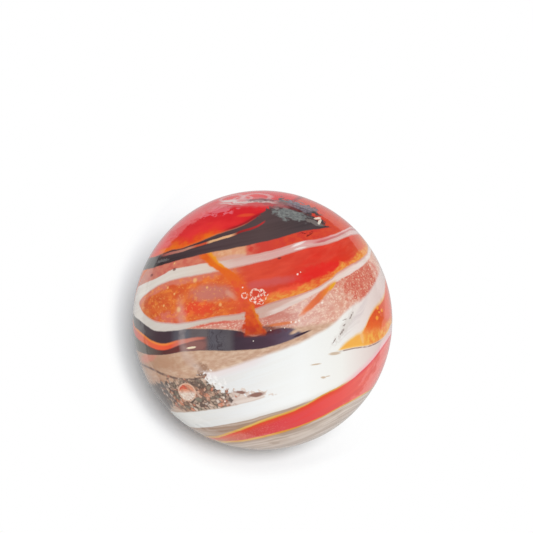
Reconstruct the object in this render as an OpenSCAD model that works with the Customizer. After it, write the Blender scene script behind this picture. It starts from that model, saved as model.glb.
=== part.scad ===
// A swirled glass marble: one solid ball of clear tan glass, with ribbons and patches of
// coloured glass fused into it just under its skin. The face with the swirl looks up and
// to the front. The origin is the centre of the ball.

/* [Ball] */
// Diameter of the ball
ball_d = 25; // [16:1:42]
// Clear skin over the coloured glass
skin = 0.05; // [0.01:0.01:0.2]
// Angle that the swirled face is rolled up from facing straight to the front
face_up = 65; // [0:5:90]

// Every edge below is a circle round the ball, given as roll, tilt and latitude in degrees.
// Roll lifts its right side, tilt lifts its far side, and latitude is its height on the ball.

/* [Crown] */
// Lower edge of the red glass at the top
crown_edge = [21, 2, 50]; // [-90:1:90]

/* [Upper black ribbon] */
// Lower edge
upper_black_edge = [13, 0, 36]; // [-90:1:90]
// Edge where the ribbon flares up to the right, into the crown
flare_edge = [24, 14, 60]; // [-90:1:90]
// Edge that cuts the flare off at its right end
flare_end = [-30, 0, 61]; // [-90:1:90]
// Upper edge of the thin amber line that splits the ribbon
split_top = [19, 6, 50]; // [-90:1:90]
// Lower edge of that line
split_bottom = [20, 6, 49]; // [-90:1:90]

/* [White loop] */
// Outer edge of the upper line
loop_top_outer = [12, -3, 27]; // [-90:1:90]
// Inner edge of the upper line
loop_top_inner = [15, -2, 24]; // [-90:1:90]
// Inner edge of the lower line
loop_bottom_inner = [15, 18, 23]; // [-90:1:90]
// Outer edge of the lower line
loop_bottom_outer = [16, 17, 19]; // [-90:1:90]

/* [Orange veil] */
// Left edge of the orange strip that crosses the loop
veil_left = [-79, -42, -50]; // [-90:1:90]
// Right edge of the strip
veil_right = [-68, -35, -37]; // [-90:1:90]

/* [Lower black ribbon] */
// Upper edge
lower_black_top = [5, 9, 5]; // [-90:1:90]
// Lower edge
lower_black_bottom = [10, 9, -2]; // [-90:1:90]
// Edge that brings the ribbon to a point at its right end
lower_black_end = [-24, 0, 2]; // [-90:1:90]
// Upper edge of the orange stripe in the ribbon's left end
stripe_top = [39, 30, 37]; // [-90:1:90]
// Lower edge of that stripe
stripe_bottom = [36, 24, 30]; // [-90:1:90]

/* [Wide white band] */
// Upper edge
band_top = [22, 19, 4]; // [-90:1:90]
// Lower edge
band_bottom = [22, 20, -24]; // [-90:1:90]
// Upper edge of the clear notch in the band's left end
notch_top = [-20, 0, -32]; // [-90:1:90]
// Lower edge of the notch
notch_bottom = [13, 0, -34]; // [-90:1:90]

/* [Amber patch] */
// Upper edge of the amber glass in the band's right end
amber_top = [23, 31, 2]; // [-90:1:90]
// Lower edge of the patch
amber_bottom = [2, 14, -4]; // [-90:1:90]

/* [Lower red ribbon] */
// Upper edge
red_top = [23, 10, -37]; // [-90:1:90]
// Lower edge
red_bottom = [19, 14, -45]; // [-90:1:90]
// Width of the yellow line along both edges, as an angle
yellow_line = 0.6; // [0.2:0.1:2]

/* [Bubbles] */
// Diameter of the largest burst bubble
burst_d = 1.8; // [0.5:0.1:2.5]
// How deep a burst bubble is, as a share of its diameter
burst_depth = 0.25; // [0.1:0.05:0.45]
// Diameter of the largest closed bubble under the skin
bubble_d = 0.9; // [0.3:0.1:1.2]
// Glass left over a closed bubble
bubble_cover = 0.4; // [0.2:0.1:1.5]

/* [Hidden] */
$fn = 96;
ball_r = ball_d / 2;
glass_r = ball_r - skin;
beyond = 2 * ball_d;

// Burst bubbles: longitude to the right, latitude, and size beside the largest
BURSTS = [[-44, -33, 1], [-32, -30, 0.55], [-34, -38, 0.4], [-26, -34, 0.35], [-39, -39, 0.3]];
// Closed bubbles, in the same order of values
BUBBLES = [
    [-2, 12, 1], [-8, 11, 0.6], [2, 10, 0.5], [-3, 7, 0.55],
    [16, 21, 0.6], [14, 0, 0.6], [-32, 18, 0.5], [62, 5, 0.5], [66, 3, 0.4]
];

// All that lies above one edge: a half-space square to the edge's axis
module above(edge) {
    rotate([edge[1], -edge[0], 0])
        translate([-beyond, -beyond, ball_r * sin(edge[2])])
            cube(2 * beyond);
}

// All that lies below one edge
module below(edge) {
    rotate([edge[1], -edge[0], 0])
        translate([-beyond, -beyond, ball_r * sin(edge[2]) - 2 * beyond])
            cube(2 * beyond);
}

// Coloured glass between two edges
module ribbon(top, bottom) {
    intersection() {
        sphere(r = glass_r);
        below(top);
        above(bottom);
    }
}

// Puts a shape on the ball at a longitude and a latitude, so far under the skin
module at(longitude, latitude, depth) {
    rotate([-latitude, 0, longitude])
        translate([0, depth - ball_r, 0])
            children();
}

// The clear gather that holds all the rest
module clear_glass() {
    color("tan", 0.3) sphere(r = ball_r);
}

module red_crown() {
    color("crimson") difference() {
        sphere(r = glass_r);
        below(crown_edge);
        flare();
    }
}

// The black glass that rises out of the ribbon's right end
module flare() {
    intersection() {
        ribbon(flare_end, upper_black_edge);
        below(flare_edge);
    }
}

module upper_black() {
    color("black") difference() {
        union() {
            intersection() {
                ribbon(crown_edge, upper_black_edge);
                below(flare_end);
            }
            flare();
        }
        ribbon(split_top, split_bottom);
    }
    color("orange") intersection() {
        ribbon(split_top, split_bottom);
        ribbon(crown_edge, upper_black_edge);
    }
}

// The white trail that turns back on itself, with the orange glass that it holds
module white_loop() {
    color("ivory") difference() {
        ribbon(loop_top_outer, loop_bottom_outer);
        ribbon(loop_top_inner, loop_bottom_inner);
        orange_veil();
    }
    color("orangered") difference() {
        ribbon(loop_top_inner, loop_bottom_inner);
        orange_veil();
    }
}

// The strip lies over both lines of the loop, and ends at the two black ribbons
module orange_veil() {
    color("orange") intersection() {
        ribbon(upper_black_edge, lower_black_top);
        above(veil_left);
        below(veil_right);
    }
}

module lower_black() {
    color("black") difference() {
        intersection() {
            ribbon(lower_black_top, lower_black_bottom);
            below(lower_black_end);
        }
        ribbon(stripe_top, stripe_bottom);
    }
    color("orangered") intersection() {
        ribbon(lower_black_top, lower_black_bottom);
        ribbon(stripe_top, stripe_bottom);
    }
}

module white_band() {
    color("white") difference() {
        ribbon(band_top, band_bottom);
        ribbon(notch_top, notch_bottom);
        ribbon(amber_top, amber_bottom);
    }
}

module amber_patch() {
    color("goldenrod") intersection() {
        ribbon(amber_top, amber_bottom);
        ribbon(band_top, band_bottom);
    }
}

// An edge moved up or down the ball by some degrees
function moved(edge, by) = [edge[0], edge[1], edge[2] + by];

module red_ribbon() {
    color("tomato") ribbon(red_top, red_bottom);
    color("gold") {
        ribbon(moved(red_top, yellow_line), red_top);
        ribbon(red_bottom, moved(red_bottom, -yellow_line));
    }
}

// Bubbles that broke the skin and left open dimples
module burst_bubbles() {
    for (b = BURSTS)
        at(b[0], b[1], (burst_depth - 0.5) * burst_d * b[2])
            sphere(d = burst_d * b[2]);
}

// Bubbles that stayed closed
module closed_bubbles() {
    for (b = BUBBLES)
        at(b[0], b[1], bubble_cover + bubble_d * b[2] / 2)
            sphere(d = bubble_d * b[2]);
}

module marble() {
    rotate([-face_up, 0, 0]) difference() {
        union() {
            clear_glass();
            red_crown();
            upper_black();
            white_loop();
            orange_veil();
            lower_black();
            white_band();
            amber_patch();
            red_ribbon();
        }
        burst_bubbles();
        closed_bubbles();
    }
}

marble();
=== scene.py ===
from math import cos, pi, radians, sin

import bpy
from mathutils import Matrix, Vector


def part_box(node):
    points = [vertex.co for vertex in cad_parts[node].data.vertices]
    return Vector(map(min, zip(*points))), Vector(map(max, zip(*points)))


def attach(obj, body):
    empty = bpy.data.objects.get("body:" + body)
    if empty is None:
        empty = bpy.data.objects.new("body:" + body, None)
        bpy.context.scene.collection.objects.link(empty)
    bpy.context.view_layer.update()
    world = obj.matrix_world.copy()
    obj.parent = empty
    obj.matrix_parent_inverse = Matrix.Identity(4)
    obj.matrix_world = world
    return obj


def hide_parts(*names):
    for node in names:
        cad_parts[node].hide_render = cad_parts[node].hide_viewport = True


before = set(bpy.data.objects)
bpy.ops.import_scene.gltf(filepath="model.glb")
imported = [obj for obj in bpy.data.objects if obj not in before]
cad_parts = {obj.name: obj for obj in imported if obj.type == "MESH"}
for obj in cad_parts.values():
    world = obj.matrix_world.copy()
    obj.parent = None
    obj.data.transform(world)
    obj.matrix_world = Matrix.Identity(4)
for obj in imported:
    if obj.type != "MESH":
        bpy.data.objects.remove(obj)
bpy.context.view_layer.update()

# The ball. A real swirled marble is one gather of clear glass with trails of coloured glass
# laid on it, twisted while hot and rounded in a cup, so it is one piece that nothing holds.
# Its skin is fire polished and never quite even.
BALL_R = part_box("marble")[1].x
FACE_UP = radians(65)
SKIN_WAVE = 0.00003
WAVE_LENGTH = 0.004

# The swirled face's own axes: to its right, to its top, and out of it
FACE_RIGHT = Vector((1, 0, 0))
FACE_TOP = Vector((0, sin(FACE_UP), cos(FACE_UP)))
FACE_OUT = Vector((0, -cos(FACE_UP), sin(FACE_UP)))


def on_face(right, top, out):
    return right * FACE_RIGHT + top * FACE_TOP + out * FACE_OUT


def spot(longitude, latitude):
    """The direction of a place on the ball, from its longitude and latitude on the face."""
    lon, lat = radians(longitude), radians(latitude)
    return on_face(sin(lon) * cos(lat), sin(lat), cos(lon) * cos(lat))


def select_none():
    bpy.ops.object.select_all(action="DESELECT")


def finish_with(piece, kind, **settings):
    """Adds a modifier to a piece and applies it."""
    bpy.context.view_layer.objects.active = piece
    modifier = piece.modifiers.new(kind.title(), kind)
    for name, value in settings.items():
        setattr(modifier, name, value)
    bpy.ops.object.modifier_apply(modifier=modifier.name)


select_none()
bpy.ops.mesh.primitive_ico_sphere_add(subdivisions=7, radius=BALL_R)
marble = bpy.context.object
marble.name = "swirled_marble"
waves = bpy.data.textures.new("skin waves", "CLOUDS")
waves.noise_scale = WAVE_LENGTH
finish_with(marble, "DISPLACE", texture=waves, texture_coords="LOCAL", strength=SKIN_WAVE, mid_level=1)

# Burst bubbles. Gas in the glass broke the skin here while the ball was hot, and left open
# round dimples with a crisp rim.
BURST_R = 0.0009
BURST_SINK = 0.25
BURSTS = [(-44, -33, 1), (-32, -30, 0.55), (-34, -38, 0.4), (-26, -34, 0.35), (-39, -39, 0.3)]

for longitude, latitude, share in BURSTS:
    select_none()
    bubble_r = BURST_R * share
    bpy.ops.mesh.primitive_ico_sphere_add(
        subdivisions=4,
        radius=bubble_r,
        location=spot(longitude, latitude) * (BALL_R + bubble_r * (1 - 2 * BURST_SINK)),
    )
    bubble = bpy.context.object
    finish_with(marble, "BOOLEAN", operation="DIFFERENCE", object=bubble, solver="EXACT")
    bpy.data.objects.remove(bubble)

select_none()
marble.select_set(True)
bpy.context.view_layer.objects.active = marble
bpy.ops.object.shade_smooth_by_angle(angle=radians(25))


class Glass:
    """A number, colour or place in the glass's material. Sums written with it add their nodes."""

    tree = None

    def __init__(self, socket):
        self.socket = socket

    @classmethod
    def node(cls, kind, settings, inputs, output=0):
        """Adds one node: its settings first, then the values or links of its sockets."""
        made = cls.tree.nodes.new(kind)
        for name, value in settings.items():
            if name == "stops":
                ramp = made.color_ramp.elements
                ramp[0].position, ramp[0].color = value[0]
                ramp[1].position, ramp[1].color = value[-1]
                for place, colour in value[1:-1]:
                    ramp.new(place).color = colour
            elif name == "bends":
                curve = made.mapping.curves[0].points
                made.mapping.clip_min_x = made.mapping.clip_min_y = -1
                made.mapping.extend = "HORIZONTAL"
                curve[0].location, curve[1].location = value[0], value[-1]
                for place, lift in value[1:-1]:
                    curve.new(place, lift)
                made.mapping.update()
            else:
                setattr(made, name, value)
        for name, value in inputs.items():
            if isinstance(value, cls):
                cls.tree.links.new(value.socket, made.inputs[name])
            else:
                made.inputs[name].default_value = value
        return cls(made.outputs[output])

    @classmethod
    def sum(cls, operation, *values):
        return cls.node("ShaderNodeMath", {"operation": operation}, dict(enumerate(values)))

    def __add__(self, other):
        return Glass.sum("ADD", self, other)

    __radd__ = __add__

    def __sub__(self, other):
        return Glass.sum("SUBTRACT", self, other)

    def __rsub__(self, other):
        return Glass.sum("SUBTRACT", other, self)

    def __mul__(self, other):
        return Glass.sum("MULTIPLY", self, other)

    __rmul__ = __mul__

    def __truediv__(self, other):
        return Glass.sum("DIVIDE", self, other)

    def __abs__(self):
        return Glass.sum("ABSOLUTE", self)

    def along(self, axis):
        """How far this place lies along an axis."""
        inputs = {0: self, 1: axis}
        return Glass.node("ShaderNodeVectorMath", {"operation": "DOT_PRODUCT"}, inputs, "Value")

    def moved(self, by):
        return Glass.node("ShaderNodeVectorMath", {"operation": "ADD"}, {0: self, 1: by})

    def scaled(self, by):
        return Glass.node("ShaderNodeVectorMath", {"operation": "MULTIPLY"}, {0: self, 1: by})

    def rise(self, low, high):
        """Goes smoothly from 0 at low to 1 at high, also where low is the greater."""
        inputs = {"Value": self, "From Min": low, "From Max": high}
        return Glass.node("ShaderNodeMapRange", {"interpolation_type": "SMOOTHSTEP", "clamp": False}, inputs)

    def under(self, colour, cover):
        """This colour with another laid over it where cover is 1."""
        return Glass.node("ShaderNodeMix", {"data_type": "RGBA"}, {0: cover, 6: self, 7: colour}, 2)


def tint(red, green, blue):
    """A colour from its sRGB values, 0 to 255."""
    linear = [
        c / 12.92 if c <= 0.04045 else ((c + 0.055) / 1.055) ** 2.4
        for c in (red / 255, green / 255, blue / 255)
    ]
    return (*linear, 1)


def between(share, first, second):
    """One colour where share is 0, the other where it is 1."""
    return Glass.node("ShaderNodeMix", {"data_type": "RGBA"}, {0: share, 6: first, 7: second}, 2)


def tints(place, *stops):
    """A colour that changes with a place from -1 to 1. A stop is that place, red, green, blue."""
    stops = [((stop[0] + 1) / 2, tint(*stop[1:])) for stop in stops]
    return Glass.node("ShaderNodeValToRGB", {"stops": stops}, {0: (place + 1) / 2})


def fewest(a, b, blend=0.0):
    """The lesser of two values, with a smooth turn between them."""
    return Glass.node("ShaderNodeMath", {"operation": "SMOOTH_MIN"}, {0: a, 1: b, 2: blend})


def most(a, b):
    return Glass.sum("MAXIMUM", a, b)


material = bpy.data.materials.new("swirled glass")
material.use_nodes = True
Glass.tree = material.node_tree
Glass.tree.nodes.clear()

# Places on the ball in radii, and the same places drawn out along the ribbons, which run
# round the ball a little rolled and tilted
RIBBON_ROLL, RIBBON_TILT = radians(18), radians(13)
here = Glass.node("ShaderNodeTexCoord", {}, {}, "Object")
here = Glass.node("ShaderNodeMapping", {}, {"Vector": here, "Scale": (1 / BALL_R,) * 3})


def along(axis, less=0.0):
    """How far along an axis a place on the ball lies, from -1 to 1, less a number."""
    turned = Glass.node(
        "ShaderNodeMapping",
        {"vector_type": "TEXTURE"},
        {
            "Vector": here,
            "Location": -axis,
            "Rotation": axis.to_track_quat("X", "Z").to_euler(),
            "Scale": (2, 2, 2),
        },
    )
    share = Glass.node("ShaderNodeTexGradient", {}, {"Vector": turned}, "Fac")
    return Glass.sum("MULTIPLY_ADD", share, 2, -1 - less)


rightward = along(FACE_RIGHT)
upward = along(FACE_TOP)
outward = along(FACE_OUT)


def edge_axis(roll, tilt):
    """The axis of a circle round the ball. Roll lifts its right side, tilt its far side."""
    return on_face(-sin(roll) * cos(tilt), cos(roll) * cos(tilt), sin(tilt))


RIBBON_AXIS = edge_axis(RIBBON_ROLL, RIBBON_TILT)
RIBBON_RUN = on_face(cos(RIBBON_ROLL), sin(RIBBON_ROLL), 0)
RIBBON_DEPTH = RIBBON_AXIS.cross(RIBBON_RUN)
ALONG_RIBBONS = Matrix((RIBBON_RUN, RIBBON_DEPTH, RIBBON_AXIS)).transposed().to_euler()


def clouds(size, stretch=1.0, detail=3.0, shift=0.0, sharp=0.15):
    """Lumps of noise from 0 to 1. Size is across the ribbons, in radii, and stretch along them."""
    long_size = size * stretch
    drawn = Glass.node(
        "ShaderNodeMapping",
        {"vector_type": "TEXTURE"},
        {
            "Vector": here,
            "Location": (shift, 0, 0),
            "Rotation": ALONG_RIBBONS,
            "Scale": (long_size, long_size, size),
        },
    )
    noise = Glass.node("ShaderNodeTexNoise", {}, {"Vector": drawn, "Scale": 1.0, "Detail": detail})
    return noise.rise(0.5 - sharp, 0.5 + sharp)


# The ribbons' edges waver a little
WAVER = 0.014
waver = Glass.node("ShaderNodeTexNoise", {}, {"Vector": here, "Scale": 9.0, "Detail": 3.0})
waver = (waver - 0.5) * WAVER


def height(edge, by=rightward):
    """How far above an edge a place lies, in radii.

    An edge is a circle's roll, tilt and latitude. Bends may follow: where along by, and by how
    much the edge lies above that circle there.
    """
    roll, tilt, latitude, *bends = edge
    far = along(edge_axis(radians(roll), radians(tilt)), sin(radians(latitude))) + waver
    if bends:
        far = far - Glass.node("ShaderNodeFloatCurve", {"bends": bends}, {"Value": by})
    return far


def above(edge, soft=0.006, rag=0.0):
    return (height(edge) + rag).rise(-soft, soft)


def below(edge, soft=0.006, rag=0.0):
    return (height(edge) + rag).rise(soft, -soft)


def threads(far, fineness, shift=0.0, sharp=0.12):
    """Fine lines that run beside an edge, from how far off it lies."""
    noise = Glass.node(
        "ShaderNodeTexNoise",
        {"noise_dimensions": "4D"},
        {"Vector": here, "W": far * fineness + shift, "Scale": 1.6, "Detail": 2.0},
    )
    return noise.rise(0.5 - sharp, 0.5 + sharp)


def oval(longitude, latitude, length, width, turn=0.0):
    """How far out in an oval on the skin a place lies: 0 at its middle, 1 on its rim."""
    out = spot(longitude, latitude)
    east = on_face(0, 1, 0).cross(out).normalized()
    north = out.cross(east)
    turn = radians(turn)
    long_way = cos(turn) * east + sin(turn) * north
    axes = Matrix((long_way, out.cross(long_way), out)).transposed().to_euler()
    place = Glass.node(
        "ShaderNodeMapping",
        {"vector_type": "TEXTURE"},
        {"Vector": here, "Location": out, "Rotation": axes, "Scale": (2 * length, 2 * width, 1)},
    )
    share = Glass.node("ShaderNodeTexGradient", {"gradient_type": "SPHERICAL"}, {"Vector": place}, "Fac")
    return Glass.sum("MULTIPLY_ADD", share, -2, 2)


def patch(*place, soft=0.5, rag=0.0, grain=0.05):
    """An oval field that is 1 inside. Rag makes its rim uneven, in shares of its size."""
    far = oval(*place)
    if rag:
        far = far + (clouds(grain, shift=place[0]) - 0.5) * rag
    return far.rise(1 + soft / 2, 1 - soft / 2)


# Clear tan glass, which holds the rest. It is grey and drawn out in fine lines at the
# bottom, and pinkish at the top, where the red behind it shows through.
LOWER_BLACK_TOP = (
    5, 9.5, 5.4,
    (-0.58, 0.023), (-0.33, 0.023), (-0.17, 0), (-0.07, -0.044), (0.06, -0.012), (0.13, 0), (0.21, -0.01),
)
RED_BOTTOM = (19.2, 13.8, -45.2, (-0.29, 0.005), (0.06, 0.014), (0.29, 0.008), (0.5, 0.02), (0.62, 0.03), (0.71, 0.027), (0.83, 0.004))
CREASE = (-9, 10, -21, (-0.93, -0.082), (-0.87, -0.069), (-0.71, -0.068), (-0.56, -0.045), (-0.43, 0.02))
fine = clouds(0.012, 2, detail=2, shift=1)
below_red = height(RED_BOTTOM)
bottom_lines = threads(below_red, 24, sharp=0.2)
glass = between(bottom_lines, tint(176, 152, 134), tint(198, 177, 160))
glass = glass.under(tint(202, 190, 178), rightward.rise(-0.05, 0.4) * 0.7)
glass = glass.under(tint(226, 214, 204), threads(below_red, 19, shift=5, sharp=0.1) * 0.45)
glass = glass.under(tint(150, 124, 108), threads(below_red, 28, shift=9, sharp=0.08) * 0.45)
far_lines = threads(below_red, 26, shift=53, sharp=0.1) * below_red.rise(0, 0.05) * rightward.rise(0.2, 0)
glass = glass.under(tint(156, 122, 100), far_lines * 0.7)
tan_glass = tints(rightward, (-0.95, 178, 146, 127), (-0.6, 211, 181, 157), (-0.2, 221, 196, 174), (0.2, 223, 193, 170))
tan_glass = tan_glass.under(tint(226, 206, 180), clouds(0.05, 3, shift=3) * 0.35)
tan_glass = tan_glass.under(tint(188, 146, 118), clouds(0.04, 2, shift=4) * 0.4)
tan_glass = tan_glass.under(tint(186, 140, 114), clouds(0.018, 3, shift=51) * 0.45)
tan_glass = tan_glass.under(tint(186, 144, 116), patch(-52, -19, 0.2, 0.05, 2, soft=1.2, rag=0.4) * 0.8)
tan_glass = tan_glass.under(tint(214, 140, 124), patch(-68, -17, 0.17, 0.03, 6, soft=1.0, rag=0.5) * 0.7)
crease_height = height(CREASE)
crease = abs(crease_height).rise(0.016, 0.003) * rightward.rise(-0.4, -0.48)
tan_glass = tan_glass.under(tint(112, 88, 82), crease * clouds(0.04, 1, shift=35).rise(-0.4, 0.4) * 0.85)
tan_glass = tan_glass.under(tint(156, 118, 96), patch(-29, -23, 0.07, 0.05, -60, soft=0.8, rag=0.8, grain=0.03) * 0.7)
tan_glass = tan_glass.under(tint(122, 96, 84), patch(-31, -24.5, 0.055, 0.008, 4, soft=0.8, rag=0.6) * 0.8)
glass = glass.under(tan_glass, above((22, 18, -15), 0.1))


pink_glass = tints(rightward, (-0.6, 214, 146, 126), (-0.15, 218, 148, 132), (0.1, 212, 146, 132), (0.3, 231, 203, 193), (0.6, 222, 174, 152))
pink_glass = pink_glass.under(tint(232, 204, 188), clouds(0.035, 2, shift=5) * 0.4)
pink_glass = pink_glass.under(tint(206, 120, 104), clouds(0.03, 1.5, shift=6) * 0.35)
pink_sparks = clouds(0.012, 1.5, detail=1, shift=55, sharp=0.15).rise(0.78, 1)
pink_glass = pink_glass.under(tint(244, 224, 204), pink_sparks * 0.5)
glass = glass.under(pink_glass, above(LOWER_BLACK_TOP, 0.02) * above((22, 19, 2), 0.02))
glass = glass.under(tint(206, 130, 116), patch(5, 1.5, 0.14, 0.035, 5, soft=1.2, rag=0.3) * 0.6)
specks = clouds(0.03, 1.5, detail=4, shift=7, sharp=0.25)
speckled = between(specks, tint(204, 96, 80), tint(214, 138, 116))
speckled = speckled.under(tint(236, 200, 176), clouds(0.014, 1, detail=1, shift=8, sharp=0.3).rise(0.6, 0.9) * 0.6)
glass = glass.under(speckled, patch(53, 18, 0.27, 0.17, 6, soft=0.5, rag=0.5))
glass = glass.under(tint(218, 190, 176), patch(74, 13, 0.33, 0.07, 28, soft=0.8, rag=0.3))

# The narrow strip between the upper black ribbon and the white trail
strip = above((14, 8, 25), 0.05)
strip_colour = tints(
    rightward, (-0.9, 200, 136, 122), (-0.75, 199, 102, 90), (-0.42, 210, 112, 90), (-0.36, 217, 158, 118),
    (-0.135, 219, 162, 124), (-0.115, 211, 74, 62), (0.4, 208, 62, 50), (0.6, 212, 78, 54),
)
strip_colour = strip_colour.under(tint(226, 158, 126), clouds(0.03, 2, shift=9) * rightward.rise(0, -0.1) * 0.35)
strip_colour = strip_colour.under(tint(232, 196, 158), clouds(0.025, 1.5, shift=52) * patch(-17, 29, 0.14, 0.06, 9, soft=0.6) * 0.5)
strip_colour = strip_colour.under(tint(222, 90, 50), clouds(0.03, 2, shift=36) * rightward.rise(0, 0.2) * 0.5)
strip_colour = strip_colour.under(tint(216, 170, 158), patch(-15, 28, 0.13, 0.03, 9, soft=0.8) * 0.8)
glass = glass.under(strip_colour, strip)

# The red crown, with amber along its lower edge and a pink sheen painted at its left, a painted reflection
CROWN_EDGE = (21.4, 2.4, 50.1, (-0.79, -0.004), (-0.71, 0), (-0.6, -0.012), (-0.36, -0.01), (-0.13, -0.014), (-0.06, 0))
flames = clouds(0.05, 3, shift=10, sharp=0.2)
crown_height = height(CROWN_EDGE)
crown = between(clouds(0.12, 3, shift=11), tint(212, 34, 42), tint(226, 52, 52))
crown = crown.under(tint(222, 76, 34), (crown_height + flames * 0.05).rise(0.12, 0.04) * rightward.rise(-0.28, -0.42))
crown = crown.under(tint(230, 112, 28), (crown_height + flames * 0.05).rise(0.07, 0.02) * rightward.rise(-0.24, -0.4))
crown = crown.under(tint(228, 92, 48), patch(-12, 53, 0.06, 0.02, 8, soft=1.0) * 0.6)
crown = crown.under(tint(120, 30, 38), crown_height.rise(0.03, 0.008) * rightward.rise(-0.35, -0.2) * 0.7)
# The pink sheen: a painted reflection at the crown's left rim, as a ragged patch and streaks
crown = crown.under(tint(226, 110, 122), patch(-38, 56.5, 0.12, 0.062, 12, soft=0.3, rag=1.0, grain=0.035) * 0.85)
painted_sheen_streaks = (clouds(0.035, 4, shift=54) - 0.5) * 0.16
crown = crown.under(tint(222, 84, 88), (outward + painted_sheen_streaks).rise(0.38, 0.32) * rightward.rise(-0.3, -0.5) * clouds(0.045, 5, shift=37, sharp=0.25).rise(0.05, 0.5) * 0.75)
glass = glass.under(crown, above(CROWN_EDGE, 0.01))

# The upper black ribbon, with a thin amber line that splits it and a flare at its right end.
# Grey painted reflections lie on the flare, with painted glints at its tip.
UPPER_BLACK_EDGE = (13, 0, 35.7, (-0.83, -0.006), (-0.63, 0.003), (0.06, -0.007), (0.35, 0.003), (0.43, -0.007))
SPLIT = (
    19, 6, 50.1,
    (-0.77, -0.012), (-0.56, -0.009), (-0.48, -0.008), (-0.3, -0.009), (-0.22, -0.014), (-0.17, -0.008), (-0.04, -0.01), (0.02, 0.002),
)
HORN_LEFT = (43.6, 0, 35.8)
HORN_TOP = (-16, 0, 69.9)
HORN_END = (-32.3, 0, 61.4)
ragged = (clouds(0.03, 1, detail=5, shift=12) - 0.5) * 0.03
black = tints(rightward, (-0.9, 96, 90, 90), (-0.78, 48, 38, 40), (-0.6, 58, 44, 48), (-0.4, 78, 60, 64), (0, 88, 70, 70), (0.3, 70, 60, 62))
black = black.under(tint(96, 78, 80), threads(height(UPPER_BLACK_EDGE), 30, shift=13) * 0.35)
ribbon = above(UPPER_BLACK_EDGE) * below(CROWN_EDGE)
horn_arm = patch(34, 61, 0.16, 0.1, -26, soft=0.3, rag=0.5, grain=0.04)
horn = below(HORN_LEFT, 0.008, ragged) * below(HORN_TOP, 0.008, ragged)
horn = horn * most(below(HORN_END, 0.008, ragged), horn_arm) * above(UPPER_BLACK_EDGE)
ribbon = most(ribbon * below(HORN_END, 0.008, ragged), horn)
glass = glass.under(black, ribbon)
split = abs(height(SPLIT)).rise(0.011, 0.004) * rightward.rise(0.03, 0) * rightward.rise(-0.8, -0.72)
split_colour = tints(
    rightward, (-0.75, 176, 96, 90), (-0.55, 188, 136, 118), (-0.5, 200, 90, 60), (-0.43, 206, 84, 56),
    (-0.4, 218, 174, 130), (-0.24, 228, 180, 136), (-0.19, 150, 44, 42), (0.0, 186, 52, 54),
)
glass = glass.under(split_colour, split)
# Grey painted reflections on the horn: over its arm, and in ragged lumps over its middle
arm_reflection = patch(34, 61, 0.15, 0.085, -26, soft=0.4, rag=0.45, grain=0.05)
glass = glass.under(between(fine, tint(104, 92, 102), tint(134, 124, 134)), horn * arm_reflection * 0.9)
horn_reflection = patch(21, 54, 0.13, 0.08, -18, soft=0.4, rag=0.6, grain=0.05)
horn_reflection = horn_reflection * clouds(0.05, 2.5, detail=4, shift=14, sharp=0.3).rise(0, 0.3)
glass = glass.under(between(fine, tint(108, 110, 110), tint(134, 136, 134)), horn * horn_reflection)
glass = glass.under(tint(92, 40, 42), horn * patch(24, 59, 0.11, 0.025, -36, soft=0.8, rag=0.5))
# A grey streak painted at the horn's tip and a grey patch above it: painted reflections
glass = glass.under(tint(128, 120, 116), horn * patch(36, 48, 0.08, 0.025, -33, soft=0.5, rag=0.6) * 0.8)
glass = glass.under(tint(96, 100, 98), patch(17, 63, 0.07, 0.035, 40, soft=0.5, rag=0.8) * 0.9)
glass = glass.under(tint(134, 26, 40), patch(6, 63, 0.07, 0.03, -10, soft=0.6, rag=0.6) * 0.8)
# Two painted glints at the horn's tip
glass = glass.under(tint(236, 214, 196), patch(42, 51, 0.04, 0.013, 10, rag=0.4, grain=0.02))
glass = glass.under(tint(220, 210, 196), patch(41, 48.5, 0.045, 0.01, 43, rag=0.4, grain=0.02))
curls = abs(clouds(0.03, 1.5, detail=2, shift=15) - 0.5).rise(0.2, 0.05)
glass = glass.under(tint(120, 24, 30), patch(26, 41, 0.07, 0.028, 19, soft=0.6) * curls)
# Grey painted over the ribbon's left end and in a streak beside it: painted reflections at the ball's rim
rim_reflection = rightward.rise(-0.79, -0.84) * ribbon
glass = glass.under(tint(100, 98, 96), rim_reflection)
glass = glass.under(tint(112, 106, 106), patch(-59, 27, 0.08, 0.013, 9, rag=0.5, grain=0.02) * 0.8)

# The top of the crown, where thin folds lie over the red. A pink haze and the folds' pale lines, in three small
# loops and two long creases, are painted reflections; a dark line and a dark patch lie above them
fold_zone = patch(-17, 65, 0.32, 0.09, 4, soft=0.6, rag=0.2)
# A pink painted haze over the folds
glass = glass.under(tint(206, 118, 120), fold_zone * 0.6)
wander = (clouds(0.06, 3, detail=2, shift=16, sharp=0.3) - 0.5) * 0.03
fold_height = upward + wander
long_crease = abs(fold_height - 0.905).rise(0.013, 0.004) * rightward.rise(-0.35, -0.27) * rightward.rise(0.14, 0.04)
second_crease = abs(fold_height - 0.886).rise(0.008, 0.002) * rightward.rise(-0.35, -0.3) * rightward.rise(-0.1, -0.18)
FOLD_LOOPS = ((-43.6, 69.7, 0.11, 0.07), (-7.3, 70.7, 0.11, 0.09), (-24, 69, 0.07, 0.05))
# The fold loops' pale lines, painted reflections
for fold_loop in FOLD_LOOPS:
    loop_line = abs(oval(*fold_loop) + wander * 12 - 1).rise(0.28, 0.06)
    glass = glass.under(tint(216, 176, 176), loop_line * 0.6)
glass = glass.under(tint(216, 206, 202), most(long_crease, second_crease * 0.7) * 0.8)
dark_crease = abs(fold_height - 0.92).rise(0.009, 0.002) * rightward.rise(-0.16, -0.08) * rightward.rise(0.12, 0.06)
glass = glass.under(tint(96, 40, 48), dark_crease * 0.75)
dark_patch = patch(-1, 66.5, 0.1, 0.03, 4, soft=0.6, rag=0.8, grain=0.03)
glass = glass.under(tint(122, 84, 88), dark_patch * 0.6)

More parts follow.
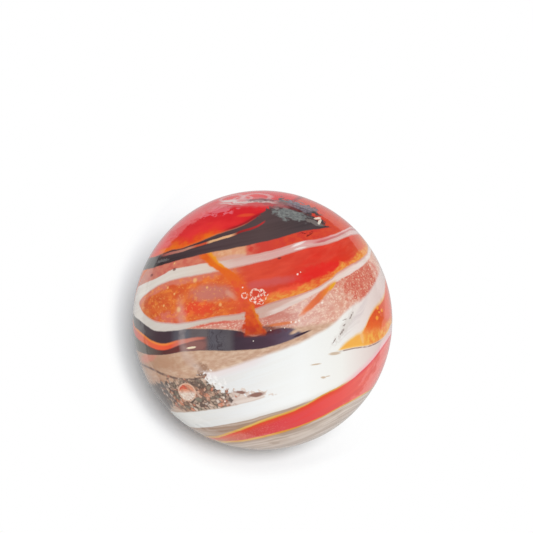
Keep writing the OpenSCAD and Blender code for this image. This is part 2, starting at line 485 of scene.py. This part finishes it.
# The orange glass inside the white loop: orange at the left, scarlet at the right of the
# veil, with gold along its lower edge
LOOP_TOP_INNER = (
    15.3, -1.7, 24.6,
    (-0.93, -0.022), (-0.79, 0.025), (-0.67, 0.032), (-0.36, 0.003), (0.13, -0.016), (0.29, -0.003),
    (0.52, -0.007), (0.67, 0.02),
)
LOOP_BOTTOM_INNER = (
    14.6, 17.8, 23.3,
    (-0.93, 0.014), (-0.87, -0.016), (-0.71, -0.03), (-0.33, 0), (-0.17, -0.006), (0.06, 0.012),
    (0.52, 0.011), (0.57, 0.026), (0.79, -0.018),
)
over_inner = height(LOOP_TOP_INNER)
over_lower = height(LOOP_BOTTOM_INNER)
loop_inner = fewest(fewest(0 - over_inner, over_lower, 0.02), rightward + 0.945, 0.06)
swirls = clouds(0.06, 2, detail=4, shift=18)
orange = tints(
    rightward, (-0.95, 190, 130, 120), (-0.9, 200, 108, 80), (-0.84, 202, 88, 44), (-0.6, 214, 100, 56),
    (-0.45, 224, 112, 60), (-0.3, 222, 108, 60), (-0.15, 226, 92, 62),
)
orange = orange.under(tint(232, 136, 62), swirls * 0.55)
orange = orange.under(tint(208, 78, 44), clouds(0.05, 2.5, shift=19) * 0.5)
orange = orange.under(tint(228, 80, 52), patch(-30, 5, 0.14, 0.05, 4, soft=0.9, rag=0.5) * 0.8)
orange = orange.under(tint(214, 128, 110), (over_inner + swirls * 0.02).rise(-0.04, -0.015) * 0.8)
orange = orange.under(tint(216, 120, 104), patch(-46, 0, 0.12, 0.05, 0, soft=0.9, rag=0.8) * 0.7)
orange = orange.under(tint(240, 150, 66), clouds(0.03, 2, detail=3, shift=38, sharp=0.2).rise(0.55, 0.95) * 0.35)
orange = orange.under(tint(204, 128, 114), patch(-23, 12, 0.17, 0.062, 2, soft=1.0, rag=0.25) * 0.9)
orange = orange.under(tint(242, 184, 106), clouds(0.016, 1.5, detail=2, shift=49, sharp=0.2).rise(0.8, 1) * 0.3)
orange = orange.under(tint(224, 172, 148), patch(-14, 11, 0.05, 0.02, -34, soft=1.2, rag=0.3) * 0.6)
scarlet = tints(
    rightward, (-0.1, 222, 88, 62), (0.15, 222, 78, 56), (0.35, 222, 58, 44), (0.55, 220, 56, 38),
    (0.68, 214, 64, 38), (0.75, 222, 112, 64),
)
scarlet = scarlet.under(tint(230, 96, 74), clouds(0.05, 4, shift=20) * 0.4)
scarlet = scarlet.under(tint(200, 56, 44), clouds(0.04, 4, shift=21) * 0.3)
scarlet = scarlet.under(tint(228, 40, 38), patch(28, 22, 0.22, 0.05, 15, soft=1.0, rag=0.5) * 0.7)
scarlet = scarlet.under(tint(212, 100, 98), patch(2, 16.5, 0.22, 0.03, 11, soft=1.3, rag=0.3) * 0.75)
scarlet = scarlet.under(tint(238, 96, 66), patch(11, 12.5, 0.2, 0.035, 17, soft=0.8, rag=0.4) * 0.9)
gold_share = (over_lower + swirls * 0.02).rise(0.075, 0.035) * rightward.rise(-0.03, 0.08) * rightward.rise(0.48, 0.34) * 0.95
gold_end = (over_lower + swirls * 0.03).rise(0.066, 0.025) * rightward.rise(0.3, 0.5)
scarlet = scarlet.under(tint(228, 128, 58), most(gold_share, gold_end) * 0.85)
scarlet = scarlet.under(tint(234, 174, 84), most(gold_share, gold_end) * clouds(0.014, 2.5, shift=22, sharp=0.2) * 0.85)
orange = orange.under(scarlet, (rightward + swirls * 0.06).rise(-0.2, -0.05))
glass = glass.under(orange, loop_inner.rise(-0.006, 0.006))

# The lower black ribbon, with an orange stripe in its left end. Blue-grey panels in the middle are
# a painted reflection of a window. It thins to a thread at its right end.
LOWER_BLACK_BOTTOM = (
    9.7, 9.2, -1.7,
    (-0.93, -0.012), (-0.79, -0.007), (-0.56, 0.023), (-0.17, -0.011), (0.06, -0.017), (0.21, 0.004),
    (0.34, 0.038),
)
LOWER_BLACK_END = (-24, 0, 2)
STRIPE_TOP = (39.1, 29.9, 37.4, (-0.98, -0.009), (-0.94, 0.014), (-0.8, 0), (-0.56, 0.014), (-0.43, -0.014))
STRIPE_BOTTOM = (36.5, 23.8, 30.1, (-0.98, 0.018), (-0.91, 0.019), (-0.79, -0.009), (-0.56, 0.008), (-0.43, -0.015))
# The ribbon's colour, with lighter blue-grey panels in the middle painted as a window's reflection
plum_and_window_reflection = tints(
    rightward, (-0.98, 118, 116, 112), (-0.9, 92, 84, 86), (-0.8, 78, 60, 66), (-0.7, 74, 58, 66),
    (-0.66, 94, 90, 98), (-0.57, 106, 106, 114), (-0.53, 112, 102, 104), (-0.42, 112, 104, 106),
    (-0.39, 104, 101, 109), (-0.25, 102, 96, 101), (-0.2, 76, 60, 72), (0.06, 96, 70, 86), (0.17, 106, 88, 106), (0.25, 114, 104, 122),
)
plum_and_window_reflection = plum_and_window_reflection.under(tint(62, 48, 56), clouds(0.06, 3, shift=23) * 0.25)
cracks = Glass.node(
    "ShaderNodeTexNoise", {"noise_dimensions": "1D"}, {"W": rightward * 60 + upward * 6 + swirls * 3, "Scale": 1.0, "Detail": 2.0}
).rise(0.5, 0.7)
plum_and_window_reflection = plum_and_window_reflection.under(tint(58, 46, 54), cracks * rightward.rise(-0.43, -0.41) * rightward.rise(-0.24, -0.3) * 0.5)
black_edge_left = rightward.rise(-0.57, -0.6)
lower_black = most(below(LOWER_BLACK_TOP), black_edge_left * over_lower.rise(0, -0.01))
lower_black = lower_black * above(LOWER_BLACK_BOTTOM) * below(LOWER_BLACK_END, 0.015)
lower_black = lower_black * (1 - patch(14, -5, 0.036, 0.011, 24, soft=1.4, rag=0.2))
glass = glass.under(plum_and_window_reflection, lower_black)
stripe_top, stripe_bottom = height(STRIPE_TOP), height(STRIPE_BOTTOM)
stripe = stripe_top.rise(0.006, -0.006) * stripe_bottom.rise(-0.006, 0.006) * rightward.rise(-0.41, -0.46)
under_stripe = stripe_bottom.rise(0.01, -0.01) * rightward.rise(-0.4, -0.45)
under_colour = tints(
    rightward, (-0.98, 110, 112, 106), (-0.85, 108, 98, 92), (-0.75, 92, 56, 56), (-0.6, 116, 60, 58),
    (-0.55, 140, 104, 100), (-0.45, 132, 92, 90),
)
glass = glass.under(under_colour, under_stripe * lower_black)
glass = glass.under(tint(150, 106, 100), patch(-31, -11, 0.1, 0.032, 5, soft=0.5, rag=0.3) * under_stripe * 0.9)
stripe_colour = tints(
    rightward, (-0.98, 214, 104, 92), (-0.9, 222, 116, 84), (-0.78, 236, 100, 66), (-0.7, 228, 92, 60),
    (-0.62, 206, 130, 116), (-0.55, 208, 140, 124), (-0.43, 190, 104, 88),
)
stripe_colour = stripe_colour.under(tint(240, 150, 70), stripe_top.rise(-0.02, -0.005) * rightward.rise(-0.6, -0.75) * 0.8)
glass = glass.under(stripe_colour, stripe * lower_black)
glass = glass.under(tint(236, 222, 196), patch(-33.4, -12, 0.042, 0.008, 7, rag=0.2, grain=0.02))
glass = glass.under(tint(108, 44, 42), patch(0, -4.5, 0.16, 0.035, 6, soft=1.0, rag=0.4) * 0.75)
glass = glass.under(tint(222, 130, 74), patch(8, -1.6, 0.1, 0.012, 9, soft=0.8) * 0.8)
glass = glass.under(tint(72, 52, 66), patch(17.3, -5.9, 0.07, 0.008, 21, soft=0.8))

# The white trail that turns back on itself as a loop
LOOP_TOP_OUTER = (
    12.4, -3.2, 27.3,
    (-0.95, -0.012), (-0.75, 0.01), (-0.71, 0.022), (-0.63, 0.024), (-0.25, -0.005), (0.13, -0.003),
    (0.29, 0.017), (0.44, 0.016), (0.6, 0.051), (0.67, 0.086),
)
LOOP_BOTTOM_OUTER = (
    15.8, 16.8, 19.2,
    (-0.98, 0.012), (-0.94, 0.015), (-0.83, -0.022), (-0.79, -0.024), (-0.63, -0.011), (-0.4, 0.024),
    (0.06, -0.022), (0.29, 0.002), (0.6, 0.015), (0.81, -0.009),
)
over_outer = height(LOOP_TOP_OUTER)
under_outer = height(LOOP_BOTTOM_OUTER)
loop_outer = fewest(0 - over_outer, under_outer)
top_trail = tints(
    rightward, (-0.98, 236, 231, 224), (-0.85, 226, 220, 212), (-0.6, 222, 213, 204), (-0.35, 226, 208, 196), (-0.2, 217, 176, 166),
    (-0.02, 220, 180, 172), (0.1, 221, 166, 162), (0.28, 222, 172, 170), (0.45, 218, 138, 138), (0.58, 228, 190, 186),
)
lit_side = over_outer.rise(-0.01, -0.035) * rightward.rise(-0.4, -0.25)
top_trail = top_trail.under(tint(230, 206, 200), lit_side * 0.5)
pink_lines = threads(over_outer, 34, shift=47, sharp=0.1) * rightward.rise(-0.2, 0.0)
top_trail = top_trail.under(tint(204, 118, 116), pink_lines * 0.25)
top_trail = top_trail.under(
    tint(196, 84, 88), abs(over_outer + 0.024).rise(0.014, 0.004) * rightward.rise(0.36, 0.44) * 0.75
)
# Two painted glints on the trail
top_trail = top_trail.under(tint(238, 228, 226), patch(19.6, 35.3, 0.06, 0.01, 24, soft=0.9))
top_trail = top_trail.under(tint(238, 224, 222), patch(20.1, 33, 0.05, 0.01, 14, soft=0.9))
low_trail = tints(
    rightward, (-0.98, 230, 224, 217), (-0.85, 212, 205, 197), (-0.6, 214, 206, 200), (-0.4, 212, 194, 182),
    (-0.2, 214, 188, 176), (0.05, 214, 178, 166), (0.3, 226, 192, 182), (0.6, 226, 190, 178),
    (0.8, 228, 208, 200),
)
low_lit = under_outer.rise(0.045, 0.025) * rightward.rise(0, 0.1)
low_trail = low_trail.under(tint(234, 220, 214), low_lit * 0.8)
trail_colour = between(fewest(over_inner, over_lower).rise(0.0, -0.004), top_trail, low_trail)
trail_colour = trail_colour.under(tint(206, 190, 176), threads(over_outer, 40, shift=24) * 0.25)
trail_colour = trail_colour.under(tint(204, 120, 110), loop_inner.rise(-0.014, -0.002) * rightward.rise(-0.95, -0.8) * 0.5)
trail = loop_outer.rise(-0.006, 0.006) * loop_inner.rise(0.006, -0.006)
glass = glass.under(trail_colour, trail)
glass = glass.under(tint(214, 96, 78), abs(under_outer + 0.012).rise(0.01, 0.003) * patch(-25, -1, 0.22, 0.04, 3, soft=0.5) * 0.7)

# The orange veil that crosses the loop, with yellow edges, and a short streak to its right
VEIL_LEFT = (-79.4, -42, -50.5, (-0.08, -0.008), (0.02, 0.013), (0.16, 0.018), (0.3, 0.008), (0.36, 0.002), (0.43, -0.012), (0.49, 0.004))
VEIL_RIGHT = (-67.8, -35.1, -36.6, (-0.05, 0.009), (0.07, 0.012), (0.3, 0.03), (0.36, 0.022), (0.43, 0.006), (0.5, 0.018))
veil_left, veil_right = height(VEIL_LEFT, by=upward), height(VEIL_RIGHT, by=upward)
veil_rag = 0.006 + upward.rise(0.15, 0.03) * 0.01
veil_across = fewest(veil_left, 0 - veil_right) + (clouds(0.05, 1, detail=4, shift=42) - 0.5) * veil_rag
veil_ends = below(UPPER_BLACK_EDGE) * above((5, 9.5, 3.2), 0.02) * outward.rise(0, 0.1)
veil_colour = tints(
    upward, (-0.1, 186, 66, 50), (-0.04, 212, 74, 42), (0.06, 224, 98, 52), (0.15, 226, 92, 62), (0.25, 226, 88, 62),
    (0.33, 224, 98, 46), (0.41, 227, 116, 34), (0.5, 214, 84, 34),
)
veil_colour = veil_colour.under(tint(230, 124, 40), clouds(0.05, 1, shift=25) * 0.45)
veil_edge = abs(veil_right).rise(0.028, 0.006) * (upward.rise(0.37, 0.42) + upward.rise(0.13, 0.08) * 0.7)
veil_colour = veil_colour.under(tint(234, 166, 46), veil_edge * upward.rise(-0.08, -0.02) * 0.8)
veil_colour = veil_colour.under(tint(190, 62, 40), clouds(0.04, 1, detail=2, shift=39, sharp=0.1) * upward.rise(0.2, 0.05) * 0.35)
veil_core = veil_across.rise(-0.008, 0.008)
veil_fog = veil_across.rise(-0.035, 0.005) * upward.rise(0.1, 0.17) * upward.rise(0.4, 0.34) * 0.45
glass = glass.under(veil_colour, most(veil_core, veil_fog) * veil_ends)
streak = patch(25.2, 9.4, 0.18, 0.026, 40, soft=0.7, rag=0.15)
streak_colour = tints(rightward, (0.27, 234, 140, 84), (0.42, 222, 110, 62), (0.5, 230, 140, 40), (0.56, 226, 168, 40))
glass = glass.under(streak_colour, streak * 0.95)
glass = glass.under(tint(228, 168, 54), patch(33.4, 15.2, 0.045, 0.013, 42, soft=0.8, rag=0.2))

# The wide white band, with a clear notch in its left end
BAND_TOP = (
    21.8, 19.5, 4.1,
    (-0.44, 0.011), (-0.37, 0), (-0.25, 0.006), (-0.1, 0.014), (0.44, -0.004), (0.52, 0), (0.67, 0.029),
    (0.77, 0.011), (0.87, 0.024),
)
BAND_BOTTOM = (
    22.6, 20, -24.4,
    (-0.56, -0.046), (-0.4, -0.004), (-0.1, 0.018), (0.44, -0.01), (0.65, -0.031), (0.87, -0.016), (0.92, 0),
)
NOTCH_TOP = (
    -20, 0, -32,
    (-0.45, 0.009), (-0.42, -0.031), (-0.38, -0.061), (-0.33, -0.072), (-0.25, -0.06), (0, 0.01),
)
NOTCH_BOTTOM = (13, 0, -34, (-0.7, 0.035), (-0.63, 0.014), (-0.56, 0.004), (-0.25, -0.02), (0.06, -0.007))
froth_edge = (clouds(0.03, 1, detail=4, shift=26) - 0.5) * 0.06
notch = below(NOTCH_TOP, 0.01, froth_edge) * above(NOTCH_BOTTOM, 0.008)
band = below(BAND_TOP, 0.018) * above(BAND_BOTTOM) * (1 - notch)
milk = tints(
    rightward, (-0.7, 220, 220, 215), (-0.52, 227, 227, 224), (-0.3, 228, 228, 227), (-0.1, 233, 234, 234), (0.1, 238, 239, 238),
    (0.3, 240, 241, 240), (0.6, 235, 234, 230), (0.8, 226, 213, 208), (0.95, 218, 196, 190),
)
band_top = height(BAND_TOP)
milk = milk.under(tint(234, 222, 222), band_top.rise(-0.09, -0.01) * rightward.rise(0.1, -0.1) * 0.7)
milk = milk.under(tint(228, 218, 206), threads(height(BAND_BOTTOM), 26, shift=27, sharp=0.08) * rightward.rise(0.5, -0.3) * 0.15)
milk = milk.under(tint(214, 206, 196), height(BAND_BOTTOM).rise(0.05, 0) * rightward.rise(-0.3, -0.1) * 0.4)
glass = glass.under(milk, band)
notch_glass = tints(rightward, (-0.45, 150, 120, 106), (-0.28, 190, 160, 146), (-0.2, 216, 200, 190), (0, 224, 210, 200))
notch_glass = notch_glass.under(tint(240, 232, 226), threads(height(NOTCH_BOTTOM), 40, shift=28) * 0.5)
glass = glass.under(notch_glass, notch * rightward.rise(-0.42, -0.3))
glass = glass.under(tint(154, 116, 104), patch(-11.5, -33, 0.05, 0.014, -3, soft=0.8, rag=0.4))
glass = glass.under(tint(154, 116, 104), patch(-3.5, -34.4, 0.055, 0.018, 14, soft=0.8, rag=0.4))

# A dark grey crescent painted at the lower-left limb: a painted reflection of the ball's shadow on the sheet
painted_shadow_reflection = patch(-90, -37, 0.6, 0.13, 0, soft=0.25, rag=0.2, grain=0.04)
glass = glass.under(tint(88, 83, 82), painted_shadow_reflection * 0.92)

# Froth where the gather closed: pits and bubbles of every size, dark, orange, grey and white
froth = patch(-39, -35, 0.33, 0.19, 6, soft=0.35, rag=0.5) * below(CREASE, 0.03, froth_edge)
froth = most(froth, patch(-23, -36.5, 0.11, 0.085, 26, soft=0.4, rag=0.6)) * above(NOTCH_BOTTOM, 0.01)
froth = froth * (1 - band)


def cell_of(per_radius):
    """A number from 0 to 1 for each bubble in the froth."""
    middles = Glass.node("ShaderNodeTexVoronoi", {}, {"Vector": here, "Scale": per_radius}, "Position")
    return Glass.node("ShaderNodeTexWhiteNoise", {}, {"Vector": middles}, "Value")


walls = Glass.node("ShaderNodeTexVoronoi", {"feature": "DISTANCE_TO_EDGE"}, {"Vector": here, "Scale": 24.0})
froth_colour = tints(
    cell_of(24) * 2 - 1, (-1, 92, 78, 74), (-0.6, 120, 102, 92), (-0.3, 136, 134, 120), (0, 158, 122, 102),
    (0.3, 206, 132, 104), (0.6, 190, 166, 146), (1, 226, 212, 200),
)
froth_colour = froth_colour.under(tint(108, 88, 82), walls.rise(0.16, 0.02) * 0.7)
small = cell_of(52)
froth_colour = froth_colour.under(tint(92, 76, 70), small.rise(0.65, 0.8) * 0.5)
froth_colour = froth_colour.under(tint(214, 184, 164), small.rise(0.25, 0.1) * 0.6)
glass = glass.under(froth_colour, froth * 0.92)
big = oval(-43.5, -33.3, 0.1, 0.072, 30)
big_place = upward * 12 + 6.4
big_colour = between(big_place.rise(-0.35, 0.1), tint(234, 224, 212), tint(224, 160, 130))
big_colour = big_colour.under(tint(206, 70, 48), patch(-46, -30.5, 0.035, 0.03, 20, soft=0.8, rag=0.6, grain=0.02) * 0.8)
big_colour = big_colour.under(tint(176, 120, 98), clouds(0.018, 1, shift=50) * 0.4)
glass = glass.under(big_colour, (big + (fine - 0.5) * 0.2).rise(1.02, 0.88))
# A pale ring painted round the big bubble's rim, a painted highlight
glass = glass.under(tint(226, 190, 166), abs(big - 0.97).rise(0.1, 0.03) * 0.8)
white_blobs = patch(-24, -27, 0.09, 0.05, -46, soft=0.5, rag=1.0, grain=0.02) * clouds(0.02, 1, detail=2, shift=29, sharp=0.05)
glass = glass.under(tint(240, 238, 236), white_blobs * 0.9)

# Amber glass in the band's right end
AMBER_TOP = (
    23.3, 30.9, 2.5,
    (0.57, -0.015), (0.61, 0), (0.7, -0.006), (0.76, -0.027), (0.83, 0.012), (0.9, -0.019), (0.93, -0.042),
)
AMBER_BOTTOM = (1.5, 13.6, -4.1, (0.57, 0.015), (0.67, 0.017), (0.87, -0.002), (0.95, 0.021), (0.98, 0.056))
over_amber, under_amber = height(AMBER_TOP), height(AMBER_BOTTOM)
amber_side = outward.rise(0.0, 0.1) * rightward.rise(0.5, 0.6)
glass = glass.under(tint(208, 196, 196), patch(46, 1, 0.24, 0.04, 48, soft=0.8, rag=0.4) * threads(over_amber, 30, shift=30) * 0.6)
amber_colour = tints(upward, (-0.14, 232, 162, 84), (-0.09, 232, 150, 80), (-0.05, 226, 112, 52), (0, 222, 100, 48), (0.1, 216, 88, 44), (0.2, 206, 84, 52))
amber_colour = amber_colour.under(tint(204, 64, 36), clouds(0.02, 1, detail=2, shift=41, sharp=0.2) * upward.rise(-0.06, 0.02) * 0.6)
tail = (under_amber + clouds(0.05, 2, shift=44) * 0.03).rise(0.14, 0.05)
tail = most(tail, rightward.rise(0.8, 0.68))
amber_colour = amber_colour.under(tint(236, 180, 84), tail * 0.95)
amber_colour = amber_colour.under(tint(242, 206, 120), under_amber.rise(0.02, 0.0) * 0.6)
amber_colour = amber_colour.under(tint(226, 96, 44), clouds(0.04, 1, shift=31) * rightward.rise(0.75, 0.82) * 0.6)
amber_colour = amber_colour.under(tint(234, 200, 120), over_amber.rise(-0.025, -0.008) * 0.7)
amber_colour = amber_colour.under(tint(238, 204, 160), patch(49.6, -7.5, 0.06, 0.014, -66, soft=1.4, rag=0.8) * 0.4)
amber_colour = amber_colour.under(tint(228, 112, 92), rightward.rise(0.925, 0.94) * upward.rise(-0.02, 0.04) * 0.85)
amber = over_amber.rise(0.012, -0.02) * under_amber.rise(-0.006, 0.006) * amber_side
glass = glass.under(amber_colour, amber)
glass = glass.under(tint(140, 104, 90), abs(under_amber + 0.008).rise(0.009, 0.001) * rightward.rise(0.55, 0.62) * rightward.rise(0.94, 0.86) * clouds(0.03, 2, shift=40).rise(-0.3, 0.4) * 0.8)
for longitude, latitude, size in ((61.7, 5.4, 0.02), (65.9, 4.3, 0.018), (63.1, 3.5, 0.013), (60.8, 1, 0.022)):
    glass = glass.under(tint(240, 160, 62), patch(longitude, latitude, size, size * 0.7, soft=0.8) * 0.9)

# The lower red ribbon, with a yellow line along both edges. Its right end widens up to the
# white band.
RED_TOP = (
    23.6, 10, -37.3,
    (-0.34, -0.022), (-0.1, 0.013), (0.29, 0.012), (0.45, 0.026), (0.63, 0.028), (0.77, 0.058), (0.85, 0.088), (0.93, 0.13),
    (0.98, 0.15),
)
over_red = height(RED_TOP)
red_across = fewest(0 - over_red, below_red)
red_side = outward.rise(-0.2, 0)
yellow = between(threads(over_red, 20, shift=32), tint(214, 156, 66), tint(222, 184, 104))
pale_side = rightward.rise(0.56, 0.72) * over_red.rise(-0.02, 0)
glass = glass.under(tint(176, 142, 116), red_across.rise(-0.04, -0.026) * rightward.rise(0.4, 0.25) * 0.55)
glass = glass.under(tint(236, 192, 196), over_red.rise(0.055, 0.0) * red_across.rise(-0.07, -0.05) * pale_side * 0.9)
yellow_line = (red_across - rightward.rise(0.1, 0.35) * 0.009).rise(-0.025, -0.015)
glass = glass.under(yellow, yellow_line * (1 - pale_side))
red = tints(
    rightward, (-0.35, 190, 140, 96), (-0.27, 202, 106, 76), (-0.1, 206, 78, 66), (0.1, 218, 72, 76), (0.35, 228, 78, 76),
    (0.6, 232, 98, 92), (0.8, 234, 120, 108), (0.95, 234, 134, 126),
)
red = red.under(tint(214, 92, 96), threads(over_red, 18, shift=33) * 0.28)
red = red.under(tint(238, 150, 138), clouds(0.012, 1, detail=1, shift=48, sharp=0.2).rise(0.7, 1) * rightward.rise(0.3, -0.1) * 0.4)
red = red.under(tint(222, 78, 40), over_red.rise(-0.05, -0.01) * rightward.rise(0.72, 0.5) * 0.7)
red = red.under(tint(222, 84, 96), over_red.rise(-0.03, -0.005) * rightward.rise(0.6, 0.75) * 0.7)
glass = glass.under(red, red_across.rise(-0.005, 0.006))

# Small marks: flecks in the white, closed bubbles drawn as painted bright rings, and painted glints
FLECKS = (
    (42.3, 1.9, 0.026, 0.006, 52), (37, -5.2, 0.026, 0.007, 49), (33.5, -8.8, 0.02, 0.005, 58),
    (38.3, -2.1, 0.014, 0.006, 38), (38.5, 0.3, 0.02, 0.003, 15),
)
glass = glass.under(tint(212, 204, 198), patch(39.5, -2, 0.15, 0.028, 54, soft=1.2, rag=0.8, grain=0.03) * 0.6)
for fleck in FLECKS:
    glass = glass.under(tint(122, 98, 90), patch(*fleck, soft=1.2, rag=0.9, grain=0.012) * 0.7)
for mark in ((25.4, -19.5, 0.04, 0.006, 8), (30.8, -25.7, 0.022, 0.009, 0), (33.2, -25.1, 0.02, 0.004, 9), (34.5, -14.6, 0.05, 0.012, 6)):
    glass = glass.under(tint(206, 184, 160), patch(*mark, soft=0.9) * 0.9)
for dot in ((-46.5, 22.7, 0.016, 0.012, 0), (-64.3, 20.1, 0.02, 0.012, 0), (8.3, 27.9, 0.015, 0.008, 13)):
    glass = glass.under(tint(118, 64, 58), patch(*dot, soft=0.9) * 0.8)
PALE_BUBBLES = (
    (-32.4, 17.6, 0.026), (-47.9, 14.3, 0.014), (-25.6, 14.3, 0.014), (-18.7, 6.7, 0.018), (-39.5, 4.6, 0.028),
    (-49, 6.3, 0.014), (-47.9, 25.6, 0.014), (-43, 11.5, 0.012),
)
for longitude, latitude, size in PALE_BUBBLES:
    glass = glass.under(tint(238, 190, 124), patch(longitude, latitude, size * 0.65, size * 0.65, soft=1.2) * 0.8)
# Closed bubbles, drawn as broken bright rings: painted reflections at their rims
GLINT_RINGS = (
    (-3.2, 11.6, 0.032), (-7.9, 10.7, 0.021), (0.2, 9.8, 0.022), (-2.5, 8.2, 0.02), (-4.6, 9, 0.016), (-0.4, 12.4, 0.018),
    (1.6, 11.4, 0.014), (-0.5, 7.6, 0.014),
)
broken = clouds(0.014, 1, detail=1, shift=43, sharp=0.2).rise(0.15, 0.6)
for longitude, latitude, size in GLINT_RINGS:
    glint_ring = abs(oval(longitude, latitude, size, size) - 1)
    glass = glass.under(tint(242, 216, 200), glint_ring.rise(0.4, 0.08) * broken * 0.9)
GLINTS = (
    (-8.9, 14.3, 0.01), (-0.5, 12.9, 0.013), (-4.8, 9.2, 0.012), (-3.1, 7.9, 0.014), (16.4, 20.3, 0.013), (18, 21.3, 0.008),
    (14.5, -0.8, 0.014), (16, -0.2, 0.014), (12.5, -0.8, 0.012), (-21.1, -37.9, 0.014), (-21.1, -35.8, 0.011),
    (27, 7.6, 0.014), (-4, -9, 0.008), (3.6, -4.4, 0.008), (9.6, -3.3, 0.008),
)
for longitude, latitude, size in GLINTS:
    glass = glass.under(tint(246, 236, 228), patch(longitude, latitude, size * 0.6, size * 0.5, 60, soft=1.2) * 0.9)

# A pale streak painted down the left of the face: a painted reflection of a window
for place in ((-38, 2, 0.11, 0.04, -80), (-38, -10.5, 0.1, 0.03, 88), (-35, -17.8, 0.085, 0.045, -53), (-32, -21, 0.045, 0.02, -34)):
    glass = glass.under(tint(214, 198, 192), patch(*place, soft=1.6, rag=0.3) * 0.28)

# The finish: fire-polished glass
skin = Glass.node("ShaderNodeTexNoise", {}, {"Vector": here, "Scale": 7.0, "Detail": 2.0})
bump = Glass.node("ShaderNodeBump", {}, {"Strength": 0.3, "Distance": 0.0001, "Height": skin})
gloss = Glass.node(
    "ShaderNodeBsdfPrincipled",
    {},
    {"Base Color": glass, "Diffuse Roughness": 1.0, "Roughness": 0.05, "IOR": 1.5, "Normal": bump},
)
output = Glass.tree.nodes.new("ShaderNodeOutputMaterial")
Glass.tree.links.new(gloss.socket, output.inputs["Surface"])
marble.data.materials.clear()
marble.data.materials.append(material)

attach(marble, "root")
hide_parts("marble")

# The studio: a white sheet under the ball, a soft lamp near the camera and dim surroundings
FLOOR_SIDE = 0.6
select_none()
bpy.ops.mesh.primitive_plane_add(size=FLOOR_SIDE, location=(0, 0, -BALL_R))
floor = bpy.context.object
floor.name = "white_sheet"
paper = bpy.data.materials.new("white sheet")
paper.use_nodes = True
Glass.tree = paper.node_tree
Glass.tree.nodes.clear()
path = Glass.tree.nodes.new("ShaderNodeLightPath")
seen = Glass(path.outputs["Is Camera Ray"]) + Glass(path.outputs["Is Transmission Ray"])
mirrored = Glass(path.outputs["Is Glossy Ray"])
on_sheet = Glass.node("ShaderNodeTexCoord", {}, {}, "Object").scaled((1 / BALL_R,) * 3)
SHEET_CENTRE = (0, 2.2, 0)
SHEET_SIZE = (2.87, 3.6, 1)
sheet_place = Glass.node(
    "ShaderNodeMapping", {"vector_type": "TEXTURE"}, {"Vector": on_sheet, "Location": SHEET_CENTRE, "Scale": SHEET_SIZE}
)
from_centre = Glass.node("ShaderNodeVectorMath", {"operation": "LENGTH"}, {0: sheet_place}, "Value")
ragged = Glass.node("ShaderNodeTexNoise", {}, {"Vector": on_sheet, "Scale": 1.6, "Detail": 5.0, "Roughness": 0.7})
near_ball = (from_centre + (ragged - 0.5) * 1.1).rise(1.06, 0.98)
lamp_side = on_sheet.along((0.85, 0.5, 0)).rise(-0.3, 0.5)
OUTLINE_CENTRE = (0, 0.466, 0)
OUTLINE_SIZE = (1, 1.104, 1)
beyond = Glass.node(
    "ShaderNodeMapping", {"vector_type": "TEXTURE"}, {"Vector": on_sheet, "Location": OUTLINE_CENTRE, "Scale": OUTLINE_SIZE}
)
far_off = Glass.node("ShaderNodeVectorMath", {"operation": "LENGTH"}, {0: beyond}, "Value").rise(1.12, 1.25)
sheet_white = between(seen, (0.85, 0.85, 0.85, 1), (0.94, 0.96, 0.98, 1)).under((0.6, 0.6, 0.6, 1), mirrored)
lit = Glass.node("ShaderNodeBsdfDiffuse", {}, {"Color": sheet_white})
glow = Glass.node("ShaderNodeEmission", {}, {"Color": (1, 1, 1, 1), "Strength": 1.0})
white = Glass.node("ShaderNodeMixShader", {}, {0: seen * most(lamp_side, far_off), 1: lit, 2: glow})
dim = Glass.node("ShaderNodeEmission", {}, {"Color": (1, 1, 1, 1), "Strength": 0.1})
faded = Glass.node("ShaderNodeMixShader", {}, {0: mirrored * (1 - near_ball), 1: white, 2: dim})
output = Glass.tree.nodes.new("ShaderNodeOutputMaterial")
Glass.tree.links.new(faded.socket, output.inputs["Surface"])
floor.data.materials.append(paper)

world = bpy.data.worlds.new("pale room")
bpy.context.scene.world = world
world.use_nodes = True
Glass.tree = world.node_tree
Glass.tree.nodes.clear()
path = Glass.tree.nodes.new("ShaderNodeLightPath")
camera_ray = Glass(path.outputs["Is Camera Ray"])
glossy_ray = Glass(path.outputs["Is Glossy Ray"])
ROOM_LIGHT = 0.42
ROOM_IN_GLOSS = 0.08
strength = ROOM_LIGHT + camera_ray * (1 - ROOM_LIGHT) + glossy_ray * (ROOM_IN_GLOSS - ROOM_LIGHT)
room = Glass.node("ShaderNodeBackground", {}, {"Color": (1, 1, 1, 1), "Strength": strength})
output = Glass.tree.nodes.new("ShaderNodeOutputWorld")
Glass.tree.links.new(room.socket, output.inputs["Surface"])


def aim(thing, direction, distance):
    """Puts a lamp or camera that far from the ball, looking at its centre."""
    thing.location = direction * distance
    thing.rotation_euler = direction.to_track_quat("Z", "Y").to_euler()


KEY_STRENGTH = 0.65 * pi
key = bpy.data.objects.new("key lamp", bpy.data.lights.new("key lamp", "SUN"))
key.data.energy = KEY_STRENGTH
key.data.angle = radians(12.5)
key.visible_glossy = False
bpy.context.scene.collection.objects.link(key)
aim(key, on_face(0.092, 0.082, 1).normalized(), 1)

# The camera looks down on the swirled face from far off
LENS = 400
PHOTO_SIDE = 533
BALL_PIXELS = 130
BALL_CENTRE = (262.5, 320.2)
camera = bpy.data.objects.new("camera", bpy.data.cameras.new("camera"))
bpy.context.scene.collection.objects.link(camera)
bpy.context.scene.camera = camera
camera.data.lens = LENS
camera.data.sensor_width = 36
camera.data.clip_end = 10
camera.data.shift_x = (PHOTO_SIDE / 2 - BALL_CENTRE[0]) / PHOTO_SIDE
camera.data.shift_y = (BALL_CENTRE[1] - PHOTO_SIDE / 2) / PHOTO_SIDE
aim(camera, FACE_OUT, BALL_R * PHOTO_SIDE / BALL_PIXELS * LENS / camera.data.sensor_width)

bpy.context.scene.view_settings.view_transform = "Standard"
